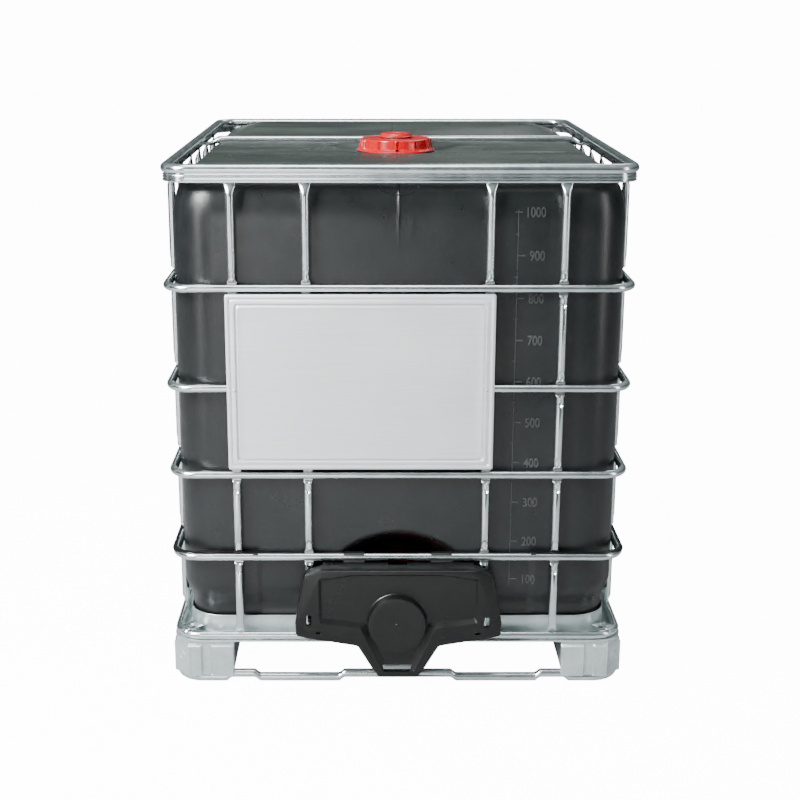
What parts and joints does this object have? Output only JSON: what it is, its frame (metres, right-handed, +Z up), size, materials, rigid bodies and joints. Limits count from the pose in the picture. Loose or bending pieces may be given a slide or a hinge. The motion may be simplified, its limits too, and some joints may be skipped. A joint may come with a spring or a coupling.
{
  "type": "intermediate bulk container",
  "caption": "Stackable cubic liquid container: blow-moulded bottle in a galvanised tube cage on a steel pallet, with screw lid, ball valve and hinged valve flap.",
  "frame": {"origin": "on the floor under the centre of the pallet", "axes": "+Z up, -Y to the front with the valve and the label plate, +X to the right seen from the front"},
  "size_m": [1.01, 1.27, 1.172],
  "materials": {
    "galvanised_tube": "bright galvanised, satin with soft draw lines",
    "zinc_sheet": "galvanised sheet, satin with fine spangle",
    "bottle_plastic": "black blow-moulded polyethylene, satin, fine grain",
    "black_plastic": "black moulded plastic, satin",
    "red_plastic": "red moulded plastic, satin",
    "rubber": "matt",
    "seat_plastic": "smooth white"
  },
  "bodies": {
    "container": {"top_rail": "galvanised_tube", "hoop_top": "galvanised_tube", "hoop_upper": "galvanised_tube", "hoop_lower": "galvanised_tube", "hoop_guarded": "galvanised_tube", "base_hoop": "galvanised_tube", "upright_front_1": "galvanised_tube", "upright_front_2": "galvanised_tube", "upright_front_3": "galvanised_tube", "upright_front_4": "galvanised_tube", "upright_rear_1": "galvanised_tube", "upright_rear_2": "galvanised_tube", "upright_rear_3": "galvanised_tube", "upright_rear_4": "galvanised_tube", "upright_left_1": "galvanised_tube", "upright_left_2": "galvanised_tube", "upright_left_3": "galvanised_tube", "upright_left_4": "galvanised_tube", "upright_left_5": "galvanised_tube", "upright_left_6": "galvanised_tube", "upright_right_1": "galvanised_tube", "upright_right_2": "galvanised_tube", "upright_right_3": "galvanised_tube", "upright_right_4": "galvanised_tube", "upright_right_5": "galvanised_tube", "upright_right_6": "galvanised_tube", "cross_bar": "galvanised_tube", "cross_bar_bolt_left": "galvanised_tube", "cross_bar_bolt_right": "galvanised_tube", "floor_runner": "galvanised_tube", "label_plate": "zinc_sheet", "pallet_tray": "zinc_sheet", "corner_foot_front_left": "zinc_sheet", "corner_foot_front_right": "zinc_sheet", "corner_foot_rear_left": "zinc_sheet", "corner_foot_rear_right": "zinc_sheet", "middle_foot_front": "zinc_sheet", "middle_foot_rear": "zinc_sheet", "middle_foot_left": "zinc_sheet", "middle_foot_right": "zinc_sheet", "centre_foot": "zinc_sheet", "bottle": "bottle_plastic", "union_nut": "black_plastic", "valve_body": "black_plastic", "valve_outlet": "black_plastic", "guard_strip": "black_plastic", "union_gasket": "rubber", "stem_seal": "rubber", "ball_seat_inner": "seat_plastic", "ball_seat_outer": "seat_plastic"},
    "valve_flap": {"flap": "black_plastic"},
    "valve_lever": {"valve_handle": "red_plastic", "valve_stem": "galvanised_tube", "valve_ball": "seat_plastic"},
    "lid_carrier": {"lid_gasket": "rubber"},
    "lid": {"lid": "red_plastic"},
    "vent_carrier": {"vent_plug_gasket": "rubber"},
    "vent_plug": {"vent_plug": "red_plastic"},
    "cap_carrier": {"dust_cap_gasket": "rubber"},
    "dust_cap": {"dust_cap": "red_plastic"}
  },
  "joints": [
    {"name": "flap_swing", "type": "hinge", "parent": "container", "child": "valve_flap", "pos_m": [0, -0.594, 0.3], "axis": [-1, 0, 0], "range_deg": [0, 95]},
    {"name": "valve_turn", "type": "hinge", "parent": "container", "child": "valve_lever", "pos_m": [0, -0.535, 0.166], "axis": [0, 0, -1], "range_deg": [0, 90]},
    {"name": "lid_lift", "type": "slide", "parent": "container", "child": "lid_carrier", "axis": [0, 0, 1], "range_m": [0, 0.028]},
    {"name": "lid_turn", "type": "hinge", "parent": "lid_carrier", "child": "lid", "pos_m": [0, 0, 1.145], "axis": [0, 0, 1], "range_deg": [0, 1440]},
    {"name": "vent_lift", "type": "slide", "parent": "lid", "child": "vent_carrier", "axis": [0, 0, 1], "range_m": [0, 0.01155]},
    {"name": "vent_turn", "type": "hinge", "parent": "vent_carrier", "child": "vent_plug", "pos_m": [0, 0, 1.16], "axis": [0, 0, 1], "range_deg": [0, 1800]},
    {"name": "cap_slide", "type": "slide", "parent": "container", "child": "cap_carrier", "axis": [0, -1, 0], "range_m": [0, 0.021]},
    {"name": "cap_turn", "type": "hinge", "parent": "cap_carrier", "child": "dust_cap", "pos_m": [0, -0.6, 0.166], "axis": [0, -1, 0], "range_deg": [0, 1260]}
  ],
  "couplings": [
    {"joint": "lid_lift", "follows": "lid_turn", "m_per_rad": 0.0011141},
    {"joint": "vent_lift", "follows": "vent_turn", "m_per_rad": 0.00036765},
    {"joint": "cap_slide", "follows": "cap_turn", "m_per_rad": 0.00095493}
  ]
}
